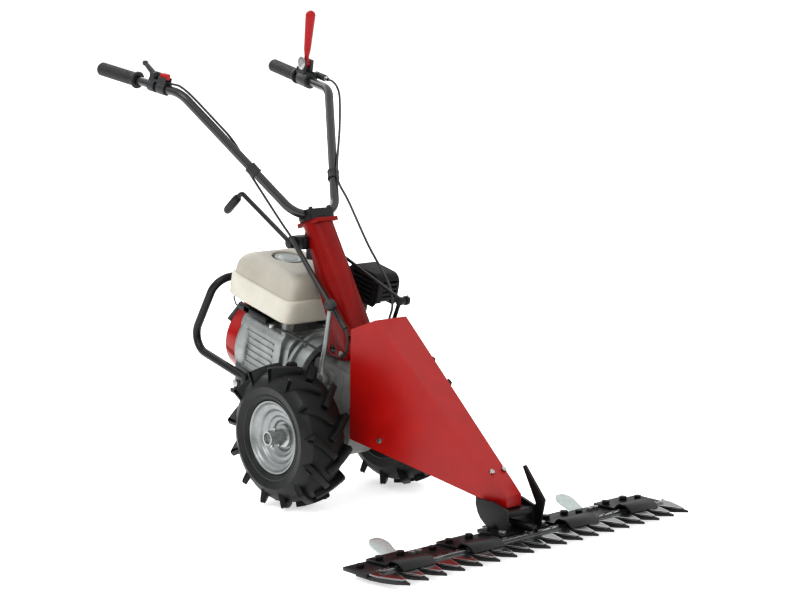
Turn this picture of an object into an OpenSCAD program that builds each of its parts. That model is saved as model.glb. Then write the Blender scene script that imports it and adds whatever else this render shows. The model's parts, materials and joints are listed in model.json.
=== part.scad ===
// Walk-behind sickle bar mower: engine, gearbox, drive tube and cutter bar on two lugged wheels.
// Ground is z = 0, the machine travels towards -Y and the operator stands at +Y.

/* [Layout] */
// Wheel axle behind the middle of the whole machine
axle_y = 56; // [50:1:62]
// Nose-down tilt of engine, gearbox and drive tube
body_tilt = 14; // [12:1:16]
// Crankshaft and drive axis above the wheel axle, square to the tilt
crank_z = 98; // [97:0.5:99]

/* [Wheels] */
// Tyre diameter over the lugs
wheel_d = 344; // [340:2:350]
// Tyre width
tyre_w = 126; // [120:2:130]
// Middle of the tyre from the machine's middle plane
wheel_x = 172; // [170:1:176]
// Lugs on each side of the tread
lug_count = 13; // [11:1:15]
// Rim flange diameter
rim_d = 175; // [172:1:180]

/* [Cutter bar] */
// Guard fingers on the bar
finger_count = 18; // [16:2:18]
// Distance between fingers
finger_pitch = 50.8; // [50:0.1:51]
// Middle of the bar beside the middle plane
bar_x = -8; // [-9:1:9]
// Finger tips ahead of the axle
tip_y = -723; // [-730:1:-715]
// Thickness of the bar
bar_t = 8; // [7:0.5:9]

/* [Handlebar] */
// Handlebar tube diameter
tube_d = 22; // [20:1:24]
// Half width over the grip ends
grip_x = 272; // [260:1:285]
// Height of the grip ends
grip_z = 1020; // [1000:5:1040]

/* [Engine] */
// Length of the fuel tank
tank_l = 243; // [235:1:245]
// Width of the fuel tank
tank_w = 214; // [205:1:218]
// Radius of the fan cover
fan_r = 102; // [98:1:104]

/* [Column] */
// Steering column tube diameter
column_d = 72; // [68:1:74]
// Column lean back from upright
column_lean = 30.6; // [29:0.2:32]
// Tilt of the column's top flange
flange_tilt = 17; // [15:1:19]

/* [Hidden] */
$fn = 48;
axle_z = wheel_d / 2;
crank_axis = [0, 0, crank_z];
output_axis = [0, 0, crank_z - 36];
column_top = [0, 98, 655];
flange_at = [0, 100, 661];
bar_l = finger_count * finger_pitch;
bar_y = [-618, -543];
bar_z = 16;
knife_z = bar_z + bar_t + 0.3;
worm_r = 37.4;
wheel_gear_r = crank_z - worm_r - 0.3;
clip_x = [-350, -150, 150, 350];
skid_x = [-290, 290];
throw = 2.9;
rocker_y = -555.8;
EPS = 0.01;

// Frames: the ground under the axle, and the tilted body with its origin on the axle
module machine() { translate([0, axle_y, 0]) children(); }
module body() { machine() translate([0, 0, axle_z]) rotate([body_tilt, 0, 0]) children(); }
// The column's top: z along the swivel axis, origin on the flange
module head() { machine() translate(flange_at) rotate([-flange_tilt, 0, 0]) children(); }

// Round bars and tubes along the axes
module rod_x(r, x0, x1) { translate([x0, 0, 0]) rotate([0, 90, 0]) cylinder(r = r, h = x1 - x0); }
module rod_y(r, y0, y1) { translate([0, y0, 0]) rotate([-90, 0, 0]) cylinder(r = r, h = y1 - y0); }
module tube_y(ro, ri, y0, y1) {
    difference() {
        rod_y(ro, y0, y1);
        rod_y(ri, y0 - 1, y1 + 1);
    }
}
module block(lo, hi) { translate(lo) cube(hi - lo); }
// Block with its four edges along X rounded
module slab_x(lo, hi, r) {
    translate([lo[0], 0, 0]) rotate([90, 0, 90]) linear_extrude(hi[0] - lo[0])
        rounded([lo[1], lo[2]], [hi[1], hi[2]], r);
}
module rounded(lo, hi, r) {
    translate([lo[0] + r, lo[1]]) square([hi[0] - lo[0] - 2 * r, hi[1] - lo[1]]);
    translate([lo[0], lo[1] + r]) square([hi[0] - lo[0], hi[1] - lo[1] - 2 * r]);
    for (p = [[lo[0] + r, lo[1] + r], [hi[0] - r, lo[1] + r], [lo[0] + r, hi[1] - r], [hi[0] - r, hi[1] - r]])
        translate(p) circle(r);
}
// Hexagon screw standing on a face at z = 0
module hex_screw(across, head_h, shank_r, shank_l) {
    cylinder(d = across / cos(30), h = head_h, $fn = 6);
    translate([0, 0, -shank_l]) cylinder(r = shank_r, h = shank_l + EPS);
}
module mirrored_x() {
    children();
    mirror([1, 0, 0]) children();
}

// Swept tubes: corners of a path are rounded with arcs, then a ring is set at each point
function unit(v) = v / norm(v);
function corner(a, b, c, r, n) =
    let (u = unit(a - b), w = unit(c - b), half = acos(u * w) / 2, s = r / tan(half),
         m = unit(u + w), centre = b + m * r / sin(half), e1 = unit(b + u * s - centre),
         e2 = unit(b + w * s - centre), turn = 180 - 2 * half)
    [for (i = [0 : n]) let (t = i / n)
        centre + r * (e1 * sin((1 - t) * turn) + e2 * sin(t * turn)) / sin(turn)];
function round_path(p, r, n) = concat([p[0]],
    [for (i = [1 : len(p) - 2]) each corner(p[i - 1], p[i], p[i + 1], r, n)], [p[len(p) - 1]]);
module sweep(path, r, sides, ref) {
    last = len(path) - 1;
    dir = [for (i = [0 : last]) unit(path[min(i + 1, last)] - path[max(i - 1, 0)])];
    ring = [for (i = [0 : last]) let (n = unit(cross(dir[i], ref)), b = cross(dir[i], n))
        for (k = [0 : sides - 1]) path[i] + r * (n * cos(360 * k / sides) + b * sin(360 * k / sides))];
    walls = [for (i = [0 : last - 1], k = [0 : sides - 1]) let (j = (k + 1) % sides)
        each [[i * sides + k, (i + 1) * sides + j, i * sides + j],
              [i * sides + k, (i + 1) * sides + k, (i + 1) * sides + j]]];
    polyhedron(ring, concat(walls, [[for (k = [0 : sides - 1]) k]],
        [[for (k = [sides - 1 : -1 : 0]) last * sides + k]]));
}

// Transmission

module gearbox_housing() {
    color("dimgray") body() difference() {
        union() {
            rod_x(74, -46, 46);
            slab_x([-46, -132, 14], [46, 92, 150], 14);
            translate(output_axis) rod_y(40, -160, -130);
            rod_x(30, -96, 96);
            mirrored_x() rod_x(44, 45, 54);
            block([-32.7, -72, 148], [32.7, 26, 196]);
            translate([0, 25, 120]) rod_x(17, -58, -44);
            for (y = [-100, -60, -20, 20, 60]) block([-48, y, 30], [48, y + 5, 140]);
        }
        rod_x(64, -26, 26);
        rod_x(17, -97, 97);
        mirrored_x() rod_x(24, 80, 97);
        translate(crank_axis) rod_y(41, -58, 58);
        translate(crank_axis) rod_y(24, -116, 70);
        translate(output_axis) rod_y(24, -116, -64);
        translate(crank_axis) rod_y(12.05, -124, 93);
        translate(output_axis) rod_y(12.05, -161, -60);
        translate([0, 25, 120]) rod_x(7.05, -59, -47);
        translate([0, -44, 174]) rod_x(5.05, 20, 34);
        translate([0, 8, 186]) rod_x(5, -34, 34);
    }
}

// Cast ring round the clutch, between gearbox and engine
module bell_housing() {
    color("gray") body() translate(crank_axis) {
        tube_y(86, 66, 92, 135);
        tube_y(99, 85.5, 124, 135);
    }
}

module axle_bearings() {
    color("lightsteelblue") body() mirrored_x() difference() {
        rod_x(24, 80, 94);
        rod_x(15.05, 79, 95);
    }
}

// Axle: round in its bearings, hexagonal where the wheels are driven
module axle_shaft() {
    color("silver") body() {
        rod_x(15, -97, 97);
        mirrored_x() translate([97 - EPS, 0, 0]) rotate([0, 90, 0])
            cylinder(d = 22 / cos(30), h = 129, $fn = 6);
    }
}

module worm_wheel() {
    color("goldenrod") body() difference() {
        union() {
            translate([-12, 0, 0]) rotate([0, 90, 0]) linear_extrude(24) toothed(36, 54, wheel_gear_r, 2.6);
            rod_x(26, -24, 24);
        }
        rod_x(15, -25, 25);
    }
}

// Worm that drives the axle, running on the input shaft
module worm() {
    color("gray") body() translate(crank_axis) difference() {
        rod_y(worm_r, -52, 52);
        for (i = [-4 : 4]) tube_y(worm_r + 1, 31, 11 * i - 3, 11 * i + 3);
        rod_y(12.05, -53, 53);
    }
}

// Gear with straight teeth
module spur(r, y0, y1) {
    translate([0, y1, 0]) rotate([90, 0, 0]) linear_extrude(y1 - y0) toothed(18, r - 3, r, 5);
}
module toothed(teeth, root, tip, half) {
    polygon([for (i = [0 : teeth - 1], k = [[-half, root], [-half / 2, tip], [half / 2, tip], [half, root]])
        k[1] * [cos(360 * i / teeth + k[0]), sin(360 * i / teeth + k[0])]]);
}

// Shaft from the clutch drum into the gearbox
module input_shaft() {
    color("silver") body() translate(crank_axis) {
        rod_y(12, -122, 94);
        spur(17.8, -110, -72);
        rod_y(62, 94 - EPS, 98);
        tube_y(62, 58, 98 - EPS, 124);
    }
}

// Shaft through the drive tube, with the knife's eccentric at its front end
module output_shaft() {
    color("silver") body() translate(output_axis) {
        rod_y(12, -536, -62);
        spur(17.8, -110, -72);
        translate([0, 0, throw]) rod_y(7, -554, -534);
    }
}

// Tube from the gearbox to the drive head, under the hood
module drive_tube() {
    color("dimgray") body() translate(output_axis) {
        tube_y(22, 16, -500, -160);
        tube_y(40, 16, -172, -160);
    }
}

// Wheels: drawn on the operator's left (+X) and mirrored

module wheel_side(side) { body() mirror([side < 0 ? 1 : 0, 0, 0]) children(); }

// Hexagon-bored hub tubes with their collars, and the pin and clamp screw of each
module hubs() {
    color("darkgray") body() mirrored_x() {
        difference() {
            union() {
                rod_x(17, 150, 237);
                rod_x(27, 184, 192);
            }
            translate([149, 0, 0]) rotate([0, 90, 0]) cylinder(d = 22.2 / cos(30), h = 90, $fn = 6);
            rod_x(13.5, 227, 238);
        }
        for (z = [-25, 17]) translate([219, 0, z]) cylinder(r = 4, h = 8);
        translate([192, 0, -22]) rotate([0, 90, 0]) cylinder(r = 4, h = 8, $fn = 6);
    }
}

// Pressed steel rim: two flanges, a drop centre and a stepped disc
module rim(side) {
    w = 50.5;
    f = rim_d / 2;
    color("lightgray") wheel_side(side) translate([wheel_x, 0, 0]) rotate([0, 90, 0]) rotate_extrude($fn = 96)
        polygon([[17, 8], [36, 8], [38, 16], [48, 16], [50, 23], [62, 23], [66, 29], [70, 31], [70, -w],
            [f - 1, -w], [f, -w + 2], [f - 1, -w + 4], [73, -w + 4], [73, w - 4], [f - 1, w - 4], [f, w - 2],
            [f - 1, w], [70, w], [70, 40], [64, 34], [60, 27], [48, 27], [46, 20], [36, 20], [34, 12], [17, 12]]);
}
module rim_left() { rim(1); }
module rim_right() { rim(-1); }

// Lug tyre: a round carcass with slanted bars that reach past the middle from each side
module tyre(side) {
    r = wheel_d / 2;
    h = tyre_w / 2;
    color([0.12, 0.12, 0.12]) wheel_side(side) translate([wheel_x, 0, 0]) {
        rotate([0, 90, 0]) rotate_extrude($fn = 96) difference() {
            intersection() {
                translate([100, 0]) circle(h, $fn = 64);
                translate([rim_d / 2 + 0.5, -h]) square([80, tyre_w]);
            }
            translate([100, 0]) circle(46);
        }
        intersection() {
            rod_x(r, -h + 3, h - 3);
            for (i = [0 : lug_count - 1], s = [-1, 1])
                rotate([360 * (i + s / 4) / lug_count, 0, 0]) translate([s * 26, 0, 146])
                    rotate([0, 0, -42 * s]) block([-42, -8, -14], [42, 8, 40]);
        }
    }
}
module tyre_left() { tyre(1); }
module tyre_right() { tyre(-1); }

// Engine: the crankshaft runs along Y, the cylinder leans up towards the operator's left

lean = 25;
case_y = [163, 325];
tank_y = 140;
module cylinder_frame() { body() translate(crank_axis) rotate([0, -lean, 0]) children(); }

module crankcase() {
    color("silver") body() difference() {
        union() {
            difference() {
                translate([0, case_y[1], 0]) rotate([90, 0, 0]) linear_extrude(case_y[1] - case_y[0])
                    rounded([-98, 4], [86, 185], 30);
                translate(crank_axis) rotate([0, -lean, 0]) block([72, 160, -120], [200, 330, 120]);
            }
            block([-104, 180, -8], [76, 312, 14]);
            for (z = [48 : 16 : 144]) block([-101, 190, z], [-90, 300, z + 4]);
            block([-90, 164, 150], [-66, 179, 214]);
        }
        translate(crank_axis) rod_y(64, 162, 318);
        translate(crank_axis) rod_y(15.05, 317, 326);
    }
}

module crankcase_cover() {
    color("lightgray") body() difference() {
        union() {
            translate([0, 163, 0]) rotate([90, 0, 0]) linear_extrude(22) rounded([-90, 8], [70, 182], 40);
            translate(crank_axis) rod_y(64, 135, 142);
        }
        translate(crank_axis) rod_y(15.05, 134, 164);
        translate(crank_axis) rod_y(50, 148, 164);
    }
}

// Finned barrel and head
module cylinder_block() {
    color("darkgray") cylinder_frame() {
        for (u = [80 : 9 : 152]) block([u, 186, -58], [u + 3, 304, 58]);
        block([72, 196, -48], [160, 294, 48]);
        block([160, 190, -54], [196, 300, 54]);
    }
}

module rocker_cover() {
    color("gainsboro") cylinder_frame() translate([196, 0, 0]) rotate([90, 0, 90]) linear_extrude(24)
        rounded([200, -44], [290, 44], 14);
}

// Crankshaft with its web and the clutch shoes on its front end
module crankshaft() {
    color("gray") body() translate(crank_axis) {
        rod_y(15, 102, 366);
        rod_y(52, 215, 231);
        rod_y(52, 259, 275);
        rod_y(56, 101, 122);
    }
}

module flywheel() {
    color("dimgray") body() translate(crank_axis) difference() {
        union() {
            rod_y(80, 332, 344);
            for (a = [0 : 30 : 330]) rotate([0, a, 0]) block([40, 344 - EPS, -2], [90, 360, 2]);
            rod_y(30, 344 - EPS, 364);
        }
        rod_y(15, 331, 365);
    }
}

// Red fan shroud, open in the middle of its back face
module fan_cover() {
    color("firebrick") body() difference() {
        union() {
            translate(crank_axis) rod_y(fan_r, 325, 372);
            block([-60, 325, 150], [90, 372, 214]);
        }
        translate(crank_axis) rod_y(fan_r - 4, 328, 368);
        translate(crank_axis) rod_y(48, 367, 373);
        translate(crank_axis) rod_y(30, 324, 329);
    }
}

// Starter housing with air slots and the rope's guide
module recoil_cover() {
    color("firebrick") body() translate(crank_axis) difference() {
        union() {
            rod_y(78, 372, 388);
            rod_y(64, 388 - EPS, 397);
        }
        rod_y(46, 371, 384);
        for (a = [0 : 30 : 330]) rotate([0, a, 0]) block([52, 371, -4], [68, 398, 4]);
    }
}

// Starter grip, pulled up and out along its rope
module recoil_grip() {
    color([0.15, 0.15, 0.15]) body() translate(crank_axis + [0, 380, 0]) rotate([0, -50, 0]) {
        translate([0, 0, 78.3]) cylinder(r = 5, h = 14);
        translate([0, 0, 96]) rod_x(8, -28, 28);
    }
}

// Fuel tank: a tub with a lip and a crowned top, and the threaded neck in a round well
module fuel_tank() {
    x0 = -8 - tank_w / 2;
    x1 = -8 + tank_w / 2;
    y1 = tank_y + tank_l;
    color("ivory") body() {
        translate([0, 0, 214]) linear_extrude(60) rounded([x0, tank_y], [x1, y1], 24);
        difference() {
            hull() {
                translate([0, 0, 274 - EPS]) linear_extrude(1)
                    rounded([x0 + 5, tank_y + 5], [x1 - 5, y1 - 5], 22, $fn = 24);
                translate([0, 0, 308]) linear_extrude(1)
                    rounded([x0 + 12, tank_y + 13], [x1 - 12, y1 - 14], 26, $fn = 24);
                translate([0, 0, 330]) linear_extrude(1)
                    rounded([x0 + 40, tank_y + 42], [x1 - 40, y1 - 44], 26, $fn = 24);
            }
            translate([-8, 290, 314]) cylinder(r = 41, h = 30);
        }
        translate([-8, 290, 314 - EPS]) cylinder(r = 27, h = 10);
    }
}

module fuel_cap() {
    color("gray") body() translate([-8, 290, 315.3]) difference() {
        cylinder(r = 35, h = 15);
        translate([0, 0, -1]) cylinder(r = 27.05, h = 10.3);
    }
}

// Silencer can with its pipe down to the head
module muffler() {
    color("dimgray") body() {
        slab_x([112, 80, 266], [164, 182, 337], 24);
        block([140, 162, 210], [162, 182, 286]);
        block([140, 182 - EPS, 205], [162, 189.7, 232]);
    }
}

// Slotted heat guard round the silencer, open below
module muffler_guard() {
    color([0.16, 0.16, 0.17]) body() difference() {
        slab_x([104, 72, 258], [172, 190, 345], 26);
        slab_x([106, 74, 250], [170, 188, 343], 24);
        block([100, 76, 240], [176, 186, 262]);
        for (z = [276 : 12 : 324]) block([120, 60, z], [164, 80, z + 5]);
        for (z = [276 : 12 : 324]) block([100, 94, z], [108, 170, z + 5]);
        for (y = [92 : 14 : 162]) block([168, y, 282], [176, y + 7, 328]);
    }
}

module air_cleaner() {
    color([0.14, 0.14, 0.15]) body() {
        slab_x([108, 214, 236], [206, 336, 286], 18);
        translate([157, 275, 286 - EPS]) cylinder(r = 14, h = 8);
    }
}

module carburettor() {
    color("gray") body() {
        slab_x([127, 300.3, 186], [168, 344, 226], 10);
        translate([147, 322, 226 - EPS]) cylinder(r = 14, h = 10);
        translate([147, 322, 160]) cylinder(r = 18, h = 26.5);
    }
}

// Arm on the crankcase that the throttle cable turns
module throttle_arm() {
    color("dimgray") body() translate([-62, 205, 185.3]) {
        cylinder(r = 10, h = 6);
        block([-38, -5, 0], [0, 5, 4]);
        translate([-38, 0, 0]) cylinder(r = 7, h = 10);
    }
}

module spark_plug() {
    color([0.2, 0.2, 0.2]) cylinder_frame() translate([178, 245, -54]) rotate([180, 0, 0]) {
        cylinder(r = 8, h = 22);
        translate([0, 0, 22 - EPS]) cylinder(r = 12, h = 26);
    }
}

// Oil filler plugs and drain screw along the foot of the crankcase
module oil_plugs() {
    color("dimgray") body() for (y = [197, 296]) translate([-104, y, 4]) rotate([0, -90, 0]) {
        cylinder(r = 7, h = 4);
        translate([0, 0, 4 - EPS]) cylinder(r = 11, h = 7, $fn = y > 200 ? 6 : 32);
    }
}

// Tube hoop behind the engine, welded to a strap under the engine's foot
guard_path = round_path([[-112, 262, 32], [-112, 497, 32], [-112, 429, 235],
    [112, 429, 235], [112, 497, 32], [112, 262, 32]], 46, 7);
module rear_guard() {
    color([0.15, 0.15, 0.15]) body() {
        sweep(guard_path, 10.5, 16, [0.2, -0.6, -1]);
        block([-124, 246, -18], [124, 300, -8]);
        mirrored_x() block([104.3, 246, -18], [124, 262.5, 46]);
    }
}

// Column, hood and levers, measured from the ground under the axle

module column_tube(r) {
    translate(column_top) rotate([-column_lean, 0, 0]) translate([0, 0, -300]) cylinder(r = r, h = 330);
}

// Welded steering column: tube, two side plates with a cross hole, and the top flange
module column() {
    color("crimson") {
        machine() difference() {
            union() {
                column_tube(column_d / 2);
                mirrored_x() translate([33, 0, 0]) rotate([90, 0, 90]) linear_extrude(4)
                    polygon([[-74, 365], [-58, 340], [-14, 337], [8, 341], [18, 358], [13, 418], [52, 503],
                        [88, 614], [76, 618]]);
            }
            column_tube(column_d / 2 - 4);
            translate([0, -1, 361]) rod_x(11, -50, 50);
            translate([0, 0, axle_z]) rotate([body_tilt, 0, 0]) translate([0, 8, 186]) rod_x(5, -50, 50);
            translate(flange_at) rotate([-flange_tilt, 0, 0]) block([-60, -80, -5], [60, 80, 90]);
        }
        head() difference() {
            translate([0, 0, -10]) linear_extrude(10) rounded([-34, -42], [34, 40], 6);
            translate([0, 0, -11]) cylinder(r = 10.05, h = 12);
        }
    }
}

// Bracket behind the column that carries the blade lever's cross shaft
blade_pivot = [0, 130, 607];
module lever_bracket() {
    color([0.12, 0.12, 0.12]) machine() difference() {
        union() {
            slab_x([-52, 84, 594], [52, 146, 624], 8);
            block([-20, 84, 566], [20, 118, 598]);
            block([-22, 98, 620], [22, 120, 644]);
        }
        column_tube(column_d / 2);
        translate(blade_pivot) rod_x(8.05, -60, 60);
        mirrored_x() block([32.9, 60, 560], [37.1, 112, 640]);
    }
}

// Folded sheet hood: flat top, upright sides that close in towards the nose, open behind and below
hood_t = 2;
module hood_solid(inset) {
    nose = -578 + inset;
    intersection() {
        translate([-100, 0, 0]) rotate([90, 0, 90]) linear_extrude(200)
            polygon([[-91, 160 - inset * 40], [-91, 422 - inset], [-169, 452 - inset], [-548, 130 - inset * 1.5],
                [nose, 104 - inset], [nose, 78 - inset * 40], [-486, 90 - inset * 40], [-349, 115 - inset * 40]]);
        linear_extrude(500) polygon([[-54 + inset, -80], [54 - inset, -80], [22 - inset, -580], [-22 + inset, -580]]);
    }
}
module hood() {
    color("firebrick") machine() difference() {
        hood_solid(0);
        translate([0, EPS, 0]) hood_solid(hood_t);
        block([-46.5, -169, 300], [46.5, -60, 500]);
        for (x = [-18.6, 18.6]) translate([x, -526, 149.5]) rotate([40.4, 0, 0]) translate([0, 0, -30])
            cylinder(r = 4.2, h = 60);
        translate([0, -189, 171]) rod_x(4.2, -80, 80);
    }
}

// Hexagon screws of hood, bell, column seat and cutter bar
module screws() {
    color("silver") {
        body() {
            for (a = [20 : 60 : 340]) translate(crank_axis) rotate([0, a, 0]) translate([0, 124, 92.6])
                rotate([90, 0, 0]) cylinder(r = 5, h = 6, $fn = 6);
            translate([0, 8, 186]) {
                rod_x(4.9, -37, 37);
                mirrored_x() translate([37, 0, 0]) rotate([0, 90, 0]) cylinder(d = 17, h = 7, $fn = 6);
            }
        }
        machine() {
            for (x = [-18.6, 18.6]) translate([x, -526, 149.5]) rotate([40.4, 0, 0]) hex_screw(11, 5, 4, 14);
            mirrored_x() translate([47.08, -189, 171]) rotate([0, 90, -3.66]) hex_screw(12, 5, 4, 12);
            translate([bar_x, 0, bar_z + bar_t]) {
                for (x = clip_x, dx = [-30, 30]) translate([x + dx, -568, 6]) hex_screw(16, 8, 4, 12);
                for (x = skid_x, dx = [4, 24]) translate([x - sign(x) * dx, -567, 0]) hex_screw(13, 7, 4, 6);
            }
            for (x = [-62, 62], y = [-604, -552]) translate([x, y, 32]) hex_screw(15, 8, 4, 6);
        }
    }
}

// Handlebar: both arms from one bent tube, held on the swivel plate

grip_end = [-grip_x, 609, grip_z];
arm_bend = [-231, 331, 965];
arm_foot = flange_at + [-62, 16 * sin(flange_tilt), 16 * cos(flange_tilt)];
handle_path = round_path([grip_end, arm_bend, arm_foot, [62, arm_foot[1], arm_foot[2]], [231, 331, 965],
    [grip_x, 609, grip_z]], 62, 8);
grip_dir = unit(arm_bend - grip_end);
// Frame on the right arm: z along the tube from its end, x up, y outwards
module on_arm(t) {
    machine() translate(grip_end + grip_dir * t)
        rotate([0, acos(grip_dir[2]), atan2(grip_dir[1], grip_dir[0])]) rotate([0, 0, 180]) children();
}
// The same frame on the left arm
module on_left_arm(t) { mirror([1, 0, 0]) on_arm(t) children(); }

// Round plate that turns on the flange, with the two clamp shells over the tube and their screws
module swivel_plate() {
    color([0.13, 0.13, 0.13]) {
        difference() {
            head() translate([0, 0, 4]) linear_extrude(22) rounded([-40, -24], [40, 24], 8);
            machine() sweep(handle_path, tube_d / 2 + 0.15, 18, [0, -0.8, 0.6]);
        }
        head() {
            translate([0, 0, 0.3]) cylinder(r = 42, h = 4);
            translate([0, 0, -9.5]) cylinder(r = 10, h = 10);
            for (x = [-28, 28], y = [-18.5, 18.5]) translate([x, y, 26 - EPS]) cylinder(d = 11, h = 5, $fn = 6);
            translate([0, 43, 4.3]) rotate([0, -90, 0]) difference() {
                cylinder(r = 15, h = 6, center = true);
                cylinder(r = 9, h = 8, center = true);
                block([-20, -30, -5], [0, 30, 5]);
            }
        }
    }
}

module handlebar() { color([0.15, 0.15, 0.15]) machine() sweep(handle_path, tube_d / 2, 18, [0, -0.8, 0.6]); }

// Rubber grips pushed over the tube's ends
module grip() {
    on_arm(0) difference() {
        union() {
            translate([0, 0, -4]) cylinder(r = 17, h = 138);
            translate([0, 0, 128]) cylinder(r = 21, h = 6);
        }
        cylinder(r = tube_d / 2 + 0.1, h = 140);
    }
}
module grips() { color([0.1, 0.1, 0.1]) mirrored_x() grip(); }

// Clamp on the right arm for the throttle lever and the stop switch
module throttle_mount() {
    color([0.1, 0.1, 0.1]) on_arm(0) {
        difference() {
            union() {
                translate([0, 0, 180]) cylinder(r = 16, h = 22);
                translate([0, 0, 212]) cylinder(r = 16, h = 26);
                block([11.5, -11, 180], [18, 11, 238]);
                for (y = [-11, 8.3]) block([18 - EPS, y, 212], [27, y + 2.7, 238]);
                for (y = [-11, 4.3]) block([18 - EPS, y, 182], [33, y + 6.7, 198]);
            }
            translate([0, 0, 179]) cylinder(r = tube_d / 2 + 0.1, h = 70);
        }
        translate([25, 0, 190]) rotate([90, 0, 0]) cylinder(r = 3, h = 20, center = true);
    }
}

module throttle_lever() {
    color([0.12, 0.12, 0.12]) on_arm(0) translate([25, 4, 190]) rotate([90, 0, 0]) difference() {
        linear_extrude(8) union() {
            circle(6.5);
            polygon([[5.2, 3], [-5.2, -3], [16.5, -37], [23.5, -33]]);
            translate([22, -39]) circle(6);
        }
        translate([0, 0, -1]) cylinder(r = 3.05, h = 10);
    }
}

module stop_switch() { color("red") on_arm(0) slab_x([21.5, -8, 213.5], [36, 8, 236.5], 3); }

// Clamp on the left arm for the clutch lever, with the cable's adjuster
module clutch_mount() {
    color([0.1, 0.1, 0.1]) on_left_arm(0) {
        difference() {
            union() {
                translate([0, 0, 151]) cylinder(r = 20, h = 44);
                for (y = [-14, 6.3]) {
                    block([12, y, 151], [52, y + 7.7, 178]);
                    block([12, y, 141], [29, y + 7.7, 151 + EPS]);
                }
                translate([14, 26, 178]) cylinder(r = 9, h = 46);
                block([6, 10, 178], [22, 28, 194]);
            }
            translate([0, 0, 140]) cylinder(r = tube_d / 2 + 0.1, h = 80);
            translate([23, 0, 147]) rotate([90, 0, 0]) cylinder(r = 3.05, h = 40, center = true);
        }
        translate([42, 0, 164]) rotate([90, 0, 0]) cylinder(r = 4, h = 28, center = true);
        translate([14, 26, 224 - EPS]) cylinder(r = 5, h = 14);
    }
}

module clutch_lever() {
    color("red") on_left_arm(0) translate([42, 0, 164]) difference() {
        union() {
            rotate([90, 0, 0]) cylinder(r = 11, h = 12, center = true);
            rotate([0, 90, 0]) {
                translate([0, 0, 6]) cylinder(r = 6, h = 12 + EPS);
                translate([0, 0, 18]) cylinder(r1 = 6, r2 = 9, h = 18 + EPS);
                translate([0, 0, 36]) cylinder(r1 = 9, r2 = 13, h = 89);
                translate([0, 0, 125]) sphere(13);
            }
        }
        rotate([90, 0, 0]) cylinder(r = 4.05, h = 14, center = true);
    }
}

// Catch that holds the clutch lever off until it is pressed
module clutch_latch() {
    color("red") on_left_arm(0) difference() {
        union() {
            block([18, -6, 137], [26, 6, 150]);
            translate([23, 0, 147]) rotate([90, 0, 0]) cylinder(r = 3, h = 20, center = true);
        }
        cylinder(r = 14, h = 160);
    }
}

// Gear lever beside the gearbox, on the selector shaft
gear_pivot = [0, 25, 120];
gear_x = -75;
module gear_lever() {
    color("gray") {
        body() translate(gear_pivot) {
            rod_x(7, -82, -47);
            translate([gear_x, 0, 0]) rod_x(14, -7, 7);
        }
        machine() sweep(round_path([[gear_x, -10, 290], [gear_x, -4, 322], [gear_x, -22, 385], [gear_x, -38, 470]], 30, 4),
            6, 12, [1, 0.1, 0]);
    }
    color([0.1, 0.1, 0.1]) machine() translate([gear_x, -39, 476]) sphere(15);
}

// Straight round bar between two points
module bar_between(a, b, r) {
    d = b - a;
    translate(a) rotate([0, acos(d[2] / norm(d)), atan2(d[1], d[0])]) cylinder(r = r, h = norm(d));
}

// Blade engagement lever: knob and bent rod on one end of the cross shaft, a short arm on the other
blade_arm_end = [0, 140, 571.4];
rod_x0 = 48;
module blade_lever() {
    color([0.13, 0.13, 0.13]) machine() {
        translate(blade_pivot) {
            rod_x(8, -64, 58);
            translate([-58, 0, 0]) rod_x(12, -8, 5.7);
            translate([58, 0, 0]) rod_x(12, -5.7, 6);
        }
        sweep(round_path([[-58, 134, 609], [-58, 323, 716], [-58, 352, 693]], 12, 6), 6, 12, [1, 0, 0]);
        translate([-58, 364, 683.5]) rotate([-128.4, 0, 0]) rotate_extrude()
            polygon([[0, -34], [9, -33], [10.5, -29], [11, -22], [11, 20], [9, 28], [6, 32], [0, 33]]);
        bar_between([58, 131, 602], [58, 140, 571.4], 5);
        translate(blade_arm_end) rod_x(4, 40, 63);
    }
}

// Link from the lever's short arm down to the arm on the gearbox
blade_link = [0, -158, 487];
module blade_rod() {
    color([0.13, 0.13, 0.13]) machine() difference() {
        union() {
            sweep(round_path([[rod_x0, -152, 489.5], [rod_x0, 82, 583], [rod_x0, 133, 572.4]], 14, 4), 4, 12, [1, 0, 0]);
            translate(blade_arm_end) rod_x(9, rod_x0 - 4, rod_x0 + 4);
            translate(blade_link) rod_x(9, rod_x0 - 4, rod_x0 + 4);
        }
        for (p = [blade_arm_end, blade_link]) translate(p) rod_x(6, rod_x0 - 8, rod_x0 + 8);
    }
}

// Arm on the gearbox's seat, with the knurled link pin at its top
module blade_arm() {
    color("gray") {
        body() translate([0, -44, 174]) {
            rod_x(5, 21, 43);
            rod_x(12, 33.2, 43);
        }
        machine() {
            bar_between([38, -89, 338], [38, -158, 487], 5);
            translate(blade_link) {
                rod_x(10, 33, 43);
                rod_x(4, 43 - EPS, 66);
                rod_x(11, 53, 62);
            }
        }
    }
}

// Point beside the right arm: t of the way from its bend to its foot, a round from its upper inside face
function beside(t, a) =
    let (d = unit(arm_foot - arm_bend), n = unit(cross(d, [0.75, 0.65, 0])), m = cross(n, d))
    arm_bend + (arm_foot - arm_bend) * t + (tube_d / 2 + 4.5) * (n * cos(a) + m * sin(a));
function flip(p) = [-p[0], p[1], p[2]];
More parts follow.
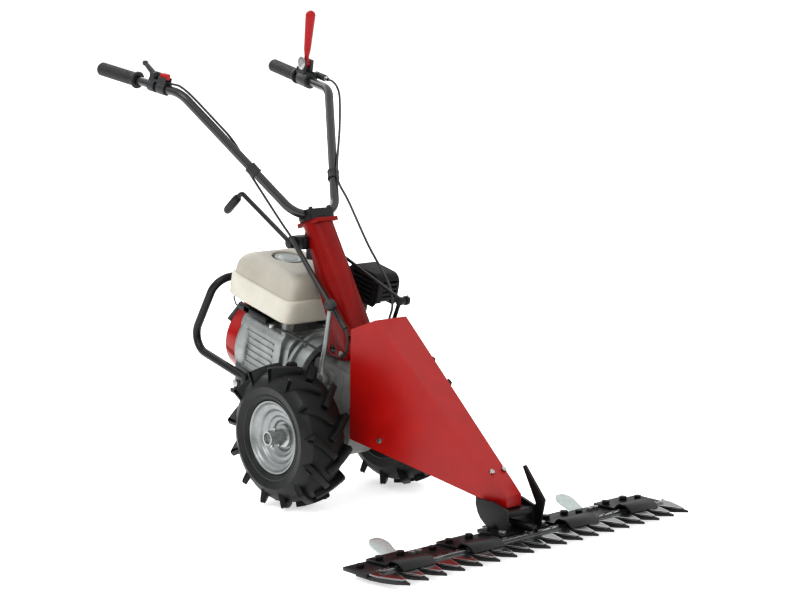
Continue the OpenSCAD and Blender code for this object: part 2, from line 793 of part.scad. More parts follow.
// Bowden cables, clipped to the arms and run to the engine and the gearbox
throttle_route = [[-237.5, 374.5, 988], [-234, 352, 986.5], [-229.5, 331, 980.5], beside(0.07, 0), beside(0.3, 0),
    beside(0.38, 30), beside(0.46, 60), beside(0.52, 90), beside(0.58, 120), beside(0.63, 150), beside(0.68, 180),
    [-104, 150, 700], [-86, 126, 655], [-72, 108, 622], [-60, 84, 578], [-52, 34, 515], [-50, -20, 460],
    [-52, -66, 420], [-56, -78, 385], [-56, -62, 352], [-56, -20, 348], [-66, 40, 366], [-90, 96, 392],
    [-100, 128, 402]];
clutch_route = [[263, 370, 987.5], [260, 350, 984], [255, 326, 970], [247, 306, 942], [205, 257, 869],
    flip(beside(0.64, -45)), flip(beside(0.78, -45)), [105, 103, 697], [98, 24, 600], [76, -74, 520],
    [54, -114, 474], [40, -118, 440], [28, -118, 407], [20, -121, 370], [18, -129, 335], [18, -133.4, 296]];
module throttle_cable() { color([0.08, 0.08, 0.08]) machine() sweep(throttle_route, 3, 8, [0.9, 0.3, 0.5]); }
module clutch_cable() { color([0.08, 0.08, 0.08]) machine() sweep(clutch_route, 3, 8, [-0.9, 0.3, 0.5]); }

// Cutter bar

module drive_head() {
    color([0.1, 0.1, 0.1]) machine() difference() {
        union() {
            block([-72, -617, bar_z + bar_t], [72, -536, 32]);
            mirrored_x() translate([38, 0, 0]) rotate([90, 0, 90]) linear_extrude(7)
                polygon([[-600, 31], [-545, 31], [-531, 38], [-518, 48], [-509, 60], [-504, 75], [-503, 92], [-560, 92],
                    [-600, 80]]);
            block([-45, -598, 62], [45, -508, 76]);
            block([-19, -514, 66], [19, -476, 104]);
            translate([0, 0, axle_z]) rotate([body_tilt, 0, 0]) translate(output_axis) rod_y(24, -500, -480);
        }
        translate([0, 0, axle_z]) rotate([body_tilt, 0, 0]) translate(output_axis) {
            rod_y(22, -500, -400);
            rod_y(14, -560, -400);
        }
        translate([0, rocker_y, 50]) cylinder(r = 8.05, h = 100);
        for (x = [-62, 62], y = [-604, -552]) translate([x, y, 20]) cylinder(r = 4.2, h = 20);
    }
}

// Upright divider plate on the drive head
module horn() {
    color([0.1, 0.1, 0.1]) machine() translate([45, 0, 0]) rotate([90, 0, 90]) linear_extrude(6)
        polygon([[-613, 32], [-628, 95], [-567, 164], [-558, 159], [-599, 84], [-588, 32]]);
}

// Long flat bar that carries the fingers and the drive head
module cutter_bar() {
    color([0.14, 0.14, 0.14]) machine() difference() {
        translate([bar_x - bar_l / 2, bar_y[0], bar_z]) cube([bar_l, bar_y[1] - bar_y[0], bar_t]);
        translate([bar_x, 0, bar_z - 1]) {
            for (x = clip_x, dx = [-30, 30]) translate([x + dx, -568, 0]) cylinder(r = 4.2, h = bar_t + 2);
            for (x = skid_x, dx = [4, 24]) translate([x - sign(x) * dx, -567, 0]) cylinder(r = 4.2, h = bar_t + 2);
        }
    }
}

// Pointed guard fingers, bolted under the bar
module guard_fingers() {
    color([0.16, 0.16, 0.16]) machine() for (i = [0 : finger_count - 1])
        translate([bar_x + (i - (finger_count - 1) / 2) * finger_pitch, 0, 0]) {
            translate([0, 0, 10]) linear_extrude(bar_z - 10) polygon([[-18, -575], [18, -575], [18, -622], [-18, -622]]);
            translate([0, 0, 10]) linear_extrude(knife_z - 0.3 - 10)
                polygon([[-18, bar_y[0]], [18, bar_y[0]], [12, -650], [11, -690], [0, tip_y], [-11, -690], [-12, -650]]);
        }
}

// Knife: back strip, triangular sections, rivets and the yoke that the rocker's pin drives
module knife() {
    span = bar_l - finger_pitch;
    color("slategray") machine() {
        translate([bar_x - span / 2, -644, knife_z + 3]) cube([span, 17, 5]);
        for (i = [0 : finger_count - 1]) translate([bar_x + (i - (finger_count - 1) / 2) * finger_pitch, 0, knife_z]) {
            linear_extrude(3 + EPS) polygon([[-25.3, -626], [25.3, -626], [25.3, -650], [4, -706], [-4, -706], [-25.3, -650]]);
            for (x = [-10, 10]) translate([x, -636, 8]) cylinder(r = 3, h = 2);
        }
        mirrored_x() block([6.8, -646, knife_z + 8 - EPS], [18, -626, knife_z + 13]);
    }
}

// Rocker: ring round the eccentric, upright shaft and the arm that swings the knife
module rocker() {
    color("gray") {
        machine() difference() {
            union() {
                translate([0, rocker_y, 41]) cylinder(r = 8, h = 42);
                block([-8, rocker_y - 4, 77], [8, -540, 86]);
                translate([0, 0, axle_z]) rotate([body_tilt, 0, 0]) translate(output_axis) rod_y(17.6, -552, -544);
                translate([0, rocker_y, 41]) cylinder(r = 9, h = 7);
                block([-9, -636, 41], [9, rocker_y, 48]);
                translate([0, -636, 34.6]) cylinder(r = 6, h = 7);
                translate([0, -636, 41]) cylinder(r = 9, h = 7);
            }
            translate([0, 0, axle_z]) rotate([body_tilt, 0, 0]) translate(output_axis) rod_y(15.6, -565, -530);
        }
    }
}

// Arched clips that hold the knife down on the fingers
module hold_down_clips() {
    color([0.1, 0.1, 0.1]) machine() translate([bar_x, 0, bar_z + bar_t]) for (x = clip_x) difference() {
        translate([x - 46, 0, 0]) rotate([90, 0, 90]) linear_extrude(92)
            polygon([[-545, 0], [-545, 6], [-609, 6], [-614, 13], [-623, 19], [-643, 19], [-653, 14], [-662, 6.5],
                [-664, 4.4], [-659, 4.4], [-651, 10.5], [-642, 15], [-624, 15], [-618, 11], [-613, 4], [-613, 0]]);
        for (dx = [-30, 30]) translate([x + dx, -568, -1]) cylinder(r = 4.2, h = 8);
    }
}

// Skid shoes under the bar, with tails that turn up behind it
module skid_shoes() {
    color("lightgray") machine() translate([bar_x, 0, 0]) for (x = skid_x) translate([x, 0, 0]) intersection() {
        translate([-30, 0, 0]) rotate([90, 0, 90]) linear_extrude(60)
            polygon([[-574, 16], [-574, 4], [-566, 0], [-530, 0], [-500, 8], [-445, 31], [-447, 35], [-502, 12],
                [-531, 4], [-560, 4], [-560, 16]]);
        linear_extrude(50) {
            polygon([[-30, -575], [30, -575], [30, -540], [19, -512], [25, -474], [-25, -474], [-19, -512], [-30, -540]]);
            translate([0, -471]) circle(25.5);
        }
    }
}

gearbox_housing();
bell_housing();
axle_bearings();
axle_shaft();
worm_wheel();
worm();
hubs();
rim_left();
rim_right();
tyre_left();
tyre_right();
input_shaft();
output_shaft();
drive_tube();
crankcase();
crankcase_cover();
cylinder_block();
rocker_cover();
crankshaft();
flywheel();
fan_cover();
recoil_cover();
recoil_grip();
fuel_tank();
fuel_cap();
muffler();
muffler_guard();
air_cleaner();
carburettor();
throttle_arm();
spark_plug();
oil_plugs();
rear_guard();
column();
lever_bracket();
hood();
screws();
swivel_plate();
handlebar();
grips();
throttle_mount();
throttle_lever();
stop_switch();
clutch_mount();
clutch_lever();
clutch_latch();
gear_lever();
blade_lever();
blade_rod();
blade_arm();
throttle_cable();
clutch_cable();
drive_head();
cutter_bar();
guard_fingers();
knife();
rocker();
hold_down_clips();
skid_shoes();
horn();
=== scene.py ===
# Walk-behind sickle bar mower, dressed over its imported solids.
# Metres, +Z up, travel towards -Y, the operator's right is -X.
import json
import math

import bmesh
import bpy
from mathutils import Matrix, Vector


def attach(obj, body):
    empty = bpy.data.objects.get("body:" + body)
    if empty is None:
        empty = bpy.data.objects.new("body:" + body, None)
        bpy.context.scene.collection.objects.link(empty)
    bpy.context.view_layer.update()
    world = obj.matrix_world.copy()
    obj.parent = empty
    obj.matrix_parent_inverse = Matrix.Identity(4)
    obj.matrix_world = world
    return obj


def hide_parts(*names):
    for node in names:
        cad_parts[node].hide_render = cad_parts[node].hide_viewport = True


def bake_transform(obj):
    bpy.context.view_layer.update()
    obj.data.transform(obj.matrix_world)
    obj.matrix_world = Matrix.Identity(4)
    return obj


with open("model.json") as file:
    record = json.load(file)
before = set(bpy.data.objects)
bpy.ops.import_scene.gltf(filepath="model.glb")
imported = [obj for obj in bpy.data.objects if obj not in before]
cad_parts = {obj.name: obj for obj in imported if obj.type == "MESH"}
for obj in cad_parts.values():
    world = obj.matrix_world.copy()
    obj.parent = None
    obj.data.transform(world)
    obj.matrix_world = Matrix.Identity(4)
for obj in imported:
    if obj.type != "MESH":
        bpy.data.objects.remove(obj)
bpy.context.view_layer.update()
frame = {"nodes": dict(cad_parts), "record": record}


# Gearbox: a ribbed iron casting with two axle tubes, painted grey.
# The column's seat is cast on top, the bell of the clutch is bolted on behind,
# and a steel tube carries the drive to the bar in front.
def linear(hexa):
    """The linear colour of an sRGB hex value."""
    parts = [int(hexa[i:i + 2], 16) / 255 for i in (1, 3, 5)]
    return tuple(p / 12.92 if p <= 0.04045 else ((p + 0.055) / 1.055) ** 2.4 for p in parts) + (1.0,)


def add(tree, kind, inputs, **settings):
    """Adds a node with its settings; an input is a value or another node's socket."""
    node = tree.nodes.new("ShaderNode" + kind)
    for name, value in settings.items():
        setattr(node, name, value)
    for name, value in inputs.items():
        if isinstance(value, bpy.types.NodeSocket):
            tree.links.new(value, node.inputs[name])
        else:
            node.inputs[name].default_value = value
    return node


def begin(name, **constants):
    """A new material: its tree, its shader with constants set, and the Object coordinates."""
    material = bpy.data.materials.new(name)
    material.use_nodes = True
    tree = material.node_tree
    shader = tree.nodes["Principled BSDF"]
    for socket, value in constants.items():
        shader.inputs[socket.replace("_", " ")].default_value = value
    return material, tree, shader, add(tree, "TexCoord", {}).outputs["Object"]


def per_mm(size):
    """Texture scale for a feature of that many millimetres."""
    return 1000 / size


def mottle(tree, shader, place, low, high, size, rough, grain, height):
    """Colour that drifts between two hexes, roughness that drifts with it, and a fine grain."""
    cloud = add(tree, "TexNoise", {"Vector": place, "Scale": per_mm(size), "Detail": 4.0, "Roughness": 0.6})
    drift = add(tree, "MapRange", {"Value": cloud.outputs["Fac"], "From Min": 0.3, "From Max": 0.7})
    tint = add(tree, "Mix", {0: drift.outputs["Result"], 6: linear(low), 7: linear(high)}, data_type="RGBA")
    tree.links.new(tint.outputs[2], shader.inputs["Base Color"])
    sheen = add(tree, "MapRange", {"Value": cloud.outputs["Fac"], "To Min": rough[0], "To Max": rough[1]})
    tree.links.new(sheen.outputs["Result"], shader.inputs["Roughness"])
    # Real grit and grain are finer than this; they are drawn near a millimetre so that they show
    fine = add(tree, "TexNoise", {"Vector": place, "Scale": per_mm(grain), "Detail": 3.0})
    bump = add(tree, "Bump", {"Height": fine.outputs["Fac"], "Strength": 0.6, "Distance": height / 1000})
    tree.links.new(bump.outputs["Normal"], shader.inputs["Normal"])


def settle(shape, name, body, finishes, replaced=(), angle=35):
    """Makes a bmesh a piece, smooth but for its sharp edges, that rides on a body if one is named."""
    for face in shape.faces:
        face.smooth = True
    for edge in shape.edges:
        edge.smooth = edge.calc_face_angle(0.0) < math.radians(angle)
    mesh = bpy.data.meshes.new(name)
    shape.to_mesh(mesh)
    shape.free()
    for finish in finishes:
        mesh.materials.append(finish)
    piece = bpy.data.objects.new(name, mesh)
    bpy.context.scene.collection.objects.link(piece)
    if body:
        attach(piece, body)
    if replaced:
        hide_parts(*replaced)
    return piece


body_of = {node: body for body, nodes in frame["record"]["behaviour"]["bodies"].items() for node in nodes}


def merged(node):
    """A copy of a node's solid with its doubles merged and its flat faces joined."""
    shape = bmesh.new()
    shape.from_mesh(frame["nodes"][node].data)
    bmesh.ops.remove_doubles(shape, verts=shape.verts, dist=0.00001)
    bmesh.ops.dissolve_limit(shape, angle_limit=math.radians(1.0), verts=shape.verts, edges=shape.edges)
    return shape


def creases(shape, angle):
    """The edges of a shape that turn by more than an angle in degrees."""
    return [e for e in shape.edges if e.is_manifold and e.calc_face_angle(0.0) > math.radians(angle)]


def round_off(shape, edges, width, segments):
    """Rounds edges by a width in the shape's own units."""
    bmesh.ops.bevel(shape, geom=edges, offset=width, offset_type="OFFSET", segments=segments, profile=0.5,
                    affect="EDGES", clamp_overlap=True, material=-1)


def eased(node, finish, width, segments=2):
    """The solid of a node with its sharp edges rounded, as a piece in its place."""
    shape = merged(node)
    round_off(shape, creases(shape, 30), width / 1000, segments)
    return settle(shape, node + "_piece", body_of[node], [finish], [node])


def dress(node, finish):
    """Keeps a node's solid and gives it a finish."""
    mesh = frame["nodes"][node].data
    mesh.materials.clear()
    mesh.materials.append(finish)


# Sprayed paint over a sand casting: mid grey, half dull, with the casting's grain under it
gearbox_paint, tree, shader, place = begin("painted_iron_casting", Metallic=0.0, IOR=1.5, Coat_Weight=0.15)
mottle(tree, shader, place, "#5c5d5b", "#71726f", 40, (0.38, 0.55), 1.2, 0.25)
eased("gearbox_housing", gearbox_paint, 2.0)
eased("drive_tube", gearbox_paint, 1.0)
# Die-cast aluminium, shot-blasted: pale grey metal with a fine even grain
cast_alloy, tree, shader, place = begin("blasted_aluminium_casting", Metallic=0.85)
mottle(tree, shader, place, "#848887", "#9da1a0", 25, (0.40, 0.56), 0.9, 0.22)
eased("bell_housing", cast_alloy, 1.5)
# Turned steel of the inner shafts and gears, oiled and bright
turned_steel, tree, shader, place = begin("turned_steel", Metallic=1.0)
mottle(tree, shader, place, "#8d9093", "#b4b7b9", 12, (0.22, 0.36), 0.8, 0.05)
for inner in ("axle_bearings", "axle_shaft", "worm", "input_shaft", "output_shaft", "crankshaft"):
    dress(inner, turned_steel)
# Bronze of the worm wheel
worm_bronze, tree, shader, place = begin("cast_bronze", Metallic=1.0)
mottle(tree, shader, place, "#8f6a33", "#a98245", 10, (0.3, 0.45), 0.8, 0.06)
dress("worm_wheel", worm_bronze)
# Grey iron of the flywheel, machined
flywheel_iron, tree, shader, place = begin("machined_grey_iron", Metallic=1.0)
mottle(tree, shader, place, "#4a4b4c", "#626364", 12, (0.35, 0.5), 0.8, 0.06)
dress("flywheel", flywheel_iron)


# Wheels: lug tyres of black rubber on pressed steel rims with stepped dishes, sprayed silver grey.
# A tyre is moulded in one with its slanted bars, which stand deepest at the shoulders.
AXLE = Vector((0.0, 0.056, 0.172))
WHEEL_X = 0.172
# Tread bars of one hand: their number, length, width and slant in degrees
LUGS, LUG_LONG, LUG_WIDE, LUG_SLANT = 13, 84, 17, 42
# How far a bar's middle and its end stand from the tyre's middle, and the radius over the bars
LUG_MIDDLE, LUG_REACH, CROWN = 26, 59, 171.9
# The tread's floor is an arc of the second radius round a circle of the first
FLOOR_CENTRE, FLOOR_ARC = 97, 62.5
# Filled natural rubber from a mould: almost black, dull, greyed by dust in the wide drifts
tyre_rubber, tree, shader, place = begin("moulded_tyre_rubber", IOR=1.52, Specular_IOR_Level=0.2)
mottle(tree, shader, place, "#0c0e0d", "#161817", 35, (0.42, 0.6), 0.7, 0.1)
# The same rubber on the smooth sidewall and round each bar's dished end, painted greyer than the tread
sidewall, tree, shader, place = begin("greyer_sidewall_rubber", IOR=1.52, Specular_IOR_Level=0.25)
mottle(tree, shader, place, "#101211", "#1c1f1d", 30, (0.36, 0.5), 0.6, 0.06)


def turned(shape, profile, centre, axis, steps, per_unit=1000):
    """Spins a profile of (radius, along) points in millimetres right round an axis.

    per_unit is the number of millimetres in one of the shape's own units.
    """
    side = axis.orthogonal().normalized()
    points = [shape.verts.new(centre + side * r / per_unit + axis * a / per_unit) for r, a in profile]
    edges = [shape.edges.new(pair) for pair in zip(points, points[1:])]
    bmesh.ops.spin(shape, geom=points + edges, cent=centre, axis=axis, angle=math.tau, steps=steps,
                   use_merge=True, use_duplicate=False)
    bmesh.ops.remove_doubles(shape, verts=shape.verts, dist=0.005 / per_unit)
    bmesh.ops.recalc_face_normals(shape, faces=shape.faces)


def flip_over(shape):
    """Turns a shape into its mirror image on the operator's other side."""
    bmesh.ops.scale(shape, vec=(-1, 1, 1), verts=shape.verts)
    bmesh.ops.reverse_faces(shape, faces=shape.faces)


# Sidewall with its rim-guard ribs, shoulder and the floor of the tread between the bars
carcass = [(88.2, 46), (89, 50), (92, 53), (97, 55.5), (99, 57.5), (101, 57.5), (103, 56.8), (110, 59.5),
           (118, 60.6), (120, 61.6), (122, 61.6), (124, 60.4), (131, 58), (139, 53), (147, 45.5), (153, 36),
           (157, 24), (159, 12), (159.5, 0)]
carcass = carcass + [(r, -a) for r, a in carcass[-2::-1]] + [(88.2, 46)]


def lug(shape, hand, turn):
    """One tread bar: a block bent round the tyre, as deep as the shoulder where it runs off it."""
    bmesh.ops.create_cube(shape, size=1.0)
    long_edges = [e for e in shape.edges if abs(e.verts[0].co.x - e.verts[1].co.x) > 0.5]
    bmesh.ops.subdivide_edges(shape, edges=long_edges, cuts=7, use_grid_fill=True)
    slant = math.radians(-LUG_SLANT * hand)
    for vert in shape.verts:
        u, v, high = vert.co.x * LUG_LONG, vert.co.y * LUG_WIDE, vert.co.z > 0
        v *= 0.82 if high else 1.12
        across = hand * LUG_MIDDLE + u * math.cos(slant) - v * math.sin(slant)
        round_by = u * math.sin(slant) + v * math.cos(slant)
        across = max(-LUG_REACH, min(LUG_REACH, across))
        floor_r = FLOOR_CENTRE + math.sqrt(max(0.0, FLOOR_ARC ** 2 - across ** 2))
        radius = CROWN - 7.5 * (across / LUG_REACH) ** 2 if high else floor_r - 3
        angle = round_by / 168 + turn
        vert.co = Vector((across, -radius * math.sin(angle), radius * math.cos(angle))) / 1000
    end = max(shape.faces, key=lambda f: hand * f.calc_center_median().x)
    # The outer end is dished, with smooth rubber round the dish
    hollow = bmesh.ops.inset_individual(shape, faces=[end], thickness=0.0042, depth=0.0)["faces"]
    for face in hollow:
        face.material_index = 1
    bmesh.ops.translate(shape, vec=(-0.005 * hand, 0, 0), verts=end.verts)
    sharp = [e for e in creases(shape, 40) if not set(e.link_faces) & set(hollow)]
    round_off(shape, sharp, 0.0016, 2)


# Silver-grey stoving paint on the pressed steel: half metallic, faintly cloudy
rim_paint, tree, shader, place = begin("silver_stoving_paint", Metallic=0.6, Coat_Weight=0.2,
                                       Coat_Roughness=0.3)
mottle(tree, shader, place, "#7c8080", "#939696", 30, (0.26, 0.38), 0.5, 0.03)
# Zinc-plated steel of hub tubes and pins
zinc_plate, tree, shader, place = begin("zinc_plated_steel", Metallic=1.0)
mottle(tree, shader, place, "#8f9290", "#b9bbb8", 9, (0.28, 0.42), 0.6, 0.04)
dish = [(17.05, 8), (36, 8), (37.5, 10), (38.5, 14.5), (40, 16), (47, 16), (49, 17.5), (50, 21), (52, 23),
        (60, 23), (63, 24.5), (66, 29), (70, 31), (70, -50.5), (86.5, -50.5), (87.5, -48.5), (86.5, -46.5),
        (73, -46.5), (73, 33), (77, 36), (80.5, 40), (83, 44.5), (86.5, 46.5), (87.5, 48.5), (86.8, 50.3),
        (85, 50.9), (83.2, 50), (81.6, 46.5), (79.4, 42.2), (76, 39.2), (72, 38), (68.6, 37.6), (66, 36.4),
        (63.8, 33.6), (62, 30), (59.6, 27.6), (56, 27), (52, 27.2), (49.6, 26.4), (47.8, 23.6), (46, 20.8),
        (43, 19.8), (39, 20), (37, 18.8), (35.6, 15.4), (34, 12.6), (31, 12), (17.05, 12), (17.05, 8)]
for hand, side in ((1, "left"), (-1, "right")):
    tyre = bmesh.new()
    turned(tyre, carcass, Vector((0, 0, 0)), Vector((1, 0, 0)), 96)
    for face in tyre.faces:
        face.material_index = int(abs(face.calc_center_median().x) > 0.046)
    for i in range(LUGS):
        for way in (1, -1):
            bar = bmesh.new()
            lug(bar, way, math.tau * (i + way / 4) / LUGS)
            part = bpy.data.meshes.new("bar")
            bar.to_mesh(part)
            bar.free()
            tyre.from_mesh(part)
            bpy.data.meshes.remove(part)
    rim = bmesh.new()
    turned(rim, dish, Vector((0, 0, 0)), Vector((1, 0, 0)), 96)
    for shape in (tyre, rim):
        if hand < 0:
            flip_over(shape)
        bmesh.ops.translate(shape, vec=AXLE + Vector((hand * WHEEL_X, 0, 0)), verts=shape.verts)
    settle(tyre, "lug_tyre_" + side, "wheels", [tyre_rubber, sidewall], ["tyre_" + side], 40)
    settle(rim, "pressed_rim_" + side, "wheels", [rim_paint], ["rim_" + side], 50)
eased("hubs", zinc_plate, 0.8)


# Engine: a single-cylinder petrol engine that leans, with a die-cast case, a finned barrel,
# a red pressed fan cover with the starter behind it, and a moulded tank on top.
# Its own frame is in millimetres, and TILT leans that frame forwards about the axle.
TILT = Matrix.Translation(AXLE) @ Matrix.Rotation(math.radians(14), 4, "X") @ Matrix.Scale(0.001, 4)
CRANK = Vector((0, 0, 98))
for casting in ("crankcase", "crankcase_cover", "cylinder_block", "rocker_cover"):
    eased(casting, cast_alloy, 1.2)
# Rounded flange of the case where the fan cover is screwed on, cast in one with it
flange = bmesh.new()
flange_side = [(84, 328), (101, 327), (110, 323), (114, 315), (113, 302), (108, 292), (99, 286), (84, 284)]
turned(flange, flange_side, CRANK, Vector((0, 1, 0)), 72, 1)
bmesh.ops.transform(flange, matrix=TILT, verts=flange.verts)
settle(flange, "case_flange", "chassis", [cast_alloy], (), 30)
# Stoving enamel on pressed steel: deep red, glossy, with a faint ripple
red_enamel, tree, shader, place = begin("red_stoving_enamel", IOR=1.5, Specular_IOR_Level=0.25,
                                        Coat_Weight=0.12, Coat_Roughness=0.1)
mottle(tree, shader, place, "#8a0b08", "#980f0b", 60, (0.24, 0.34), 2.2, 0.05)
eased("fan_cover", red_enamel, 4.0, 4)
eased("recoil_cover", red_enamel, 2.0, 3)
# Black nylon of grips, levers and covers, moulded with a fine spark texture
black_nylon, tree, shader, place = begin("spark_textured_nylon", IOR=1.53)
mottle(tree, shader, place, "#17181a", "#222426", 18, (0.45, 0.6), 0.8, 0.08)
eased("recoil_grip", black_nylon, 2.0, 3)
eased("air_cleaner", black_nylon, 3.0, 3)
eased("spark_plug", black_nylon, 1.0)
eased("carburettor", cast_alloy, 1.0)
eased("throttle_arm", zinc_plate, 0.6)
eased("oil_plugs", zinc_plate, 0.8)


def grow(shape, edges):
    """Extrudes a loop of edges, and gives the new vertices and the new loop."""
    grown = bmesh.ops.extrude_edge_only(shape, edges=edges)["geom"]
    new = [g for g in grown if isinstance(g, bmesh.types.BMVert)]
    return new, [g for g in grown if isinstance(g, bmesh.types.BMEdge) and all(v in new for v in g.verts)]


def taper(shape, steps, centre, half, power, segments):
    """Stacks loops of a rounded rectangle: each step is a height and how far its sides come in."""
    new = bmesh.ops.create_circle(shape, cap_ends=False, radius=1.0, segments=segments)["verts"]
    bmesh.ops.translate(shape, vec=centre, verts=new)
    edges = list({e for v in new for e in v.link_edges})
    for number, (height, inset) in enumerate(steps):
        if number:
            new, edges = grow(shape, edges)
        for vert in new:
            turn = math.atan2(vert.co.y - centre.y, vert.co.x - centre.x)
            cos, sin = math.cos(turn), math.sin(turn)
            wide, deep = half[0] - inset, half[1] - inset
            reach = (abs(cos / wide) ** power + abs(sin / deep) ** power) ** (-1 / power)
            vert.co = Vector((centre.x + reach * cos, centre.y + reach * sin, height))
    return edges


# Blow-moulded polyethylene, one plastic, half dull: the lower tub painted paler as painted light, the upper
# shell darker as painted shade
tank_painted_light, tree, shader, place = begin("moulded_polyethylene_painted_light", IOR=1.51, Subsurface_Weight=0.08)
mottle(tree, shader, place, "#b3b0a3", "#bdbaae", 50, (0.36, 0.46), 1.6, 0.04)
tank_painted_shade, tree, shader, place = begin("moulded_polyethylene_painted_shade", IOR=1.51, Subsurface_Weight=0.08)
mottle(tree, shader, place, "#9a968b", "#a49f94", 50, (0.36, 0.46), 1.6, 0.04)
tank = bmesh.new()
# Height and inset of each loop: the tub's round foot and side, the seam, and the shell's rounded top
SEAM = 274.4
tank_loops = [
    (214.0, 14), (214.4, 8), (216.0, 3), (219.5, 0.6), (224, 0), (266, 0), (271.5, 0.3), (273.6, 1.4),
    (274.3, 3.2), (274.6, 4.6), (275.6, 5.4), (278, 5.6), (290, 6.6), (301, 8.5), (310, 12), (317.5, 17),
    (323.5, 23.5), (327.4, 31), (329.5, 38), (330.3, 45)]
top_edges = taper(tank, tank_loops, Vector((-8, 261.5, 0)), (107, 121.5), 11, 128)
# The filler's round well, and the neck that stands in it
FILLER = Vector((-8, 290, 0))
for radius, height in ((45, 330.8), (43, 330.2), (41.4, 328.4), (41, 326), (41, 318), (39.6, 315), (37, 314),
                       (28, 314), (27, 315), (27, 323.4), (26.4, 324), (24.6, 324), (24, 323.4), (24, 316)):
    lip, top_edges = grow(tank, top_edges)
    for vert in lip:
        out = Vector((vert.co.x - FILLER.x, vert.co.y - FILLER.y, 0)).normalized()
        vert.co = FILLER + Vector((0, 0, height)) + radius * out
bmesh.ops.edgeloop_fill(tank, edges=top_edges)
bmesh.ops.edgeloop_fill(tank, edges=[e for e in tank.edges if e.is_boundary])
# Faces under the seam take the paler painted light, faces above it the darker painted shade
for face in tank.faces:
    face.material_index = 0 if face.calc_center_median().z < SEAM else 1
bmesh.ops.recalc_face_normals(tank, faces=tank.faces)
bmesh.ops.transform(tank, matrix=TILT, verts=tank.verts)
settle(tank, "tank_shell", "chassis", [tank_painted_light, tank_painted_shade], ["fuel_tank"], 50)

# Fuel cap: cast in aluminium, with a rolled and notched rim, screwed down on the filler's neck.
# It sits low in the well, so its top is level with the tank.
cap = bmesh.new()
cap_side = [(0, 330), (14, 330.2), (22, 329.6), (25, 327.8), (27, 327.6), (30, 329.4), (33, 329.2),
            (34.6, 327.4), (35, 325), (35, 318), (34.2, 315.8), (31, 315.4), (27.2, 315.4), (27.2, 325),
            (0, 325)]
turned(cap, cap_side, FILLER, Vector((0, 0, 1)), 72, 1)
for vert in cap.verts:
    out = Vector((vert.co.x - FILLER.x, vert.co.y - FILLER.y, 0))
    if out.length > 34.5 and round(math.degrees(math.atan2(out.y, out.x)) / 5) % 3 == 0:
        vert.co -= out.normalized() * 1.1
bmesh.ops.transform(cap, matrix=TILT, verts=cap.verts)
settle(cap, "tank_cap", "fuel_cap", [cast_alloy], ["fuel_cap"], 45)


def bend(points, radius, steps):
    """A path with its corners turned into arcs."""
    points = [Vector(p) for p in points]
    path = [points[0]]
    for before, at, after in zip(points, points[1:], points[2:]):
        u, w = (before - at).normalized(), (after - at).normalized()
        half = u.angle(w) / 2
        centre = at + (u + w).normalized() * radius / math.sin(half)
        start = at + u * radius / math.tan(half) - centre
        end = at + w * radius / math.tan(half) - centre
        turn = start.angle(end)
        for i in range(steps + 1):
            part = i / steps
            arc = start * math.sin((1 - part) * turn) + end * math.sin(part * turn)
            path.append(centre + arc / math.sin(turn))
    return path + [points[-1]]


def tube(shape, path, radius, sides):
    """Extrudes a circle along a path, square to it at every point."""
    loop = bmesh.ops.create_circle(shape, cap_ends=False, radius=radius, segments=sides)["verts"]
    ways = [(path[min(i + 1, len(path) - 1)] - path[max(i - 1, 0)]).normalized() for i in range(len(path))]
    turn = ways[0].to_track_quat("Z", "Y")
    bmesh.ops.transform(shape, matrix=Matrix.Translation(path[0]) @ turn.to_matrix().to_4x4(), verts=loop)
    first = edges = list({e for v in loop for e in v.link_edges})
    for i in range(1, len(path)):
        new, edges = grow(shape, edges)
        swing = ways[i - 1].rotation_difference(ways[i]).to_matrix().to_4x4()
        move = Matrix.Translation(path[i]) @ swing @ Matrix.Translation(-path[i - 1])
        bmesh.ops.transform(shape, matrix=move, verts=new)
    for ends in (first, edges):
        bmesh.ops.edgeloop_fill(shape, edges=ends)
    bmesh.ops.recalc_face_normals(shape, faces=shape.faces)


def block(shape, low, high, ease):
    """A box between two corners with its edges rounded."""
    made = bmesh.ops.create_cube(shape, size=1.0)["verts"]
    bmesh.ops.scale(shape, vec=Vector(high) - Vector(low), verts=made)
    bmesh.ops.translate(shape, vec=(Vector(low) + Vector(high)) / 2, verts=made)
    round_off(shape, list({e for v in made for e in v.link_edges}), ease, 2)


# Guard hoop: bent steel tube behind the engine, welded to a strap under the engine's feet
# and powder-coated black; its tube is 21 mm across.
black_powder, tree, shader, place = begin("black_powder_coat", IOR=1.5, Specular_IOR_Level=0.25,
                                          Coat_Weight=0.1, Coat_Roughness=0.25)
mottle(tree, shader, place, "#0c0c0d", "#141415", 30, (0.32, 0.45), 1.3, 0.07)
hoop = bmesh.new()
hoop_path = [(-112, 262, 32), (-112, 497, 32), (-112, 429, 235),
             (112, 429, 235), (112, 497, 32), (112, 262, 32)]
tube(hoop, bend(hoop_path, 46, 10), 10.5, 28)
for low, high in (((-124, 246, -18), (124, 300, -8)), ((-124, 246, -12), (-104.3, 262.5, 46)),
                  ((104.3, 246, -12), (124, 262.5, 46))):
    block(hoop, low, high, 1.5)
bmesh.ops.transform(hoop, matrix=TILT, verts=hoop.verts)
settle(hoop, "guard_hoop", "chassis", [black_powder], ["rear_guard"], 40)
# Heat guard round the silencer: black heat-proof paint, dull
heat_paint, tree, shader, place = begin("heat_proof_paint", IOR=1.5, Specular_IOR_Level=0.2)
mottle(tree, shader, place, "#0e0e0f", "#171618", 15, (0.5, 0.68), 0.9, 0.1)
eased("muffler_guard", heat_paint, 0.7)
eased("muffler", heat_paint, 2.0)
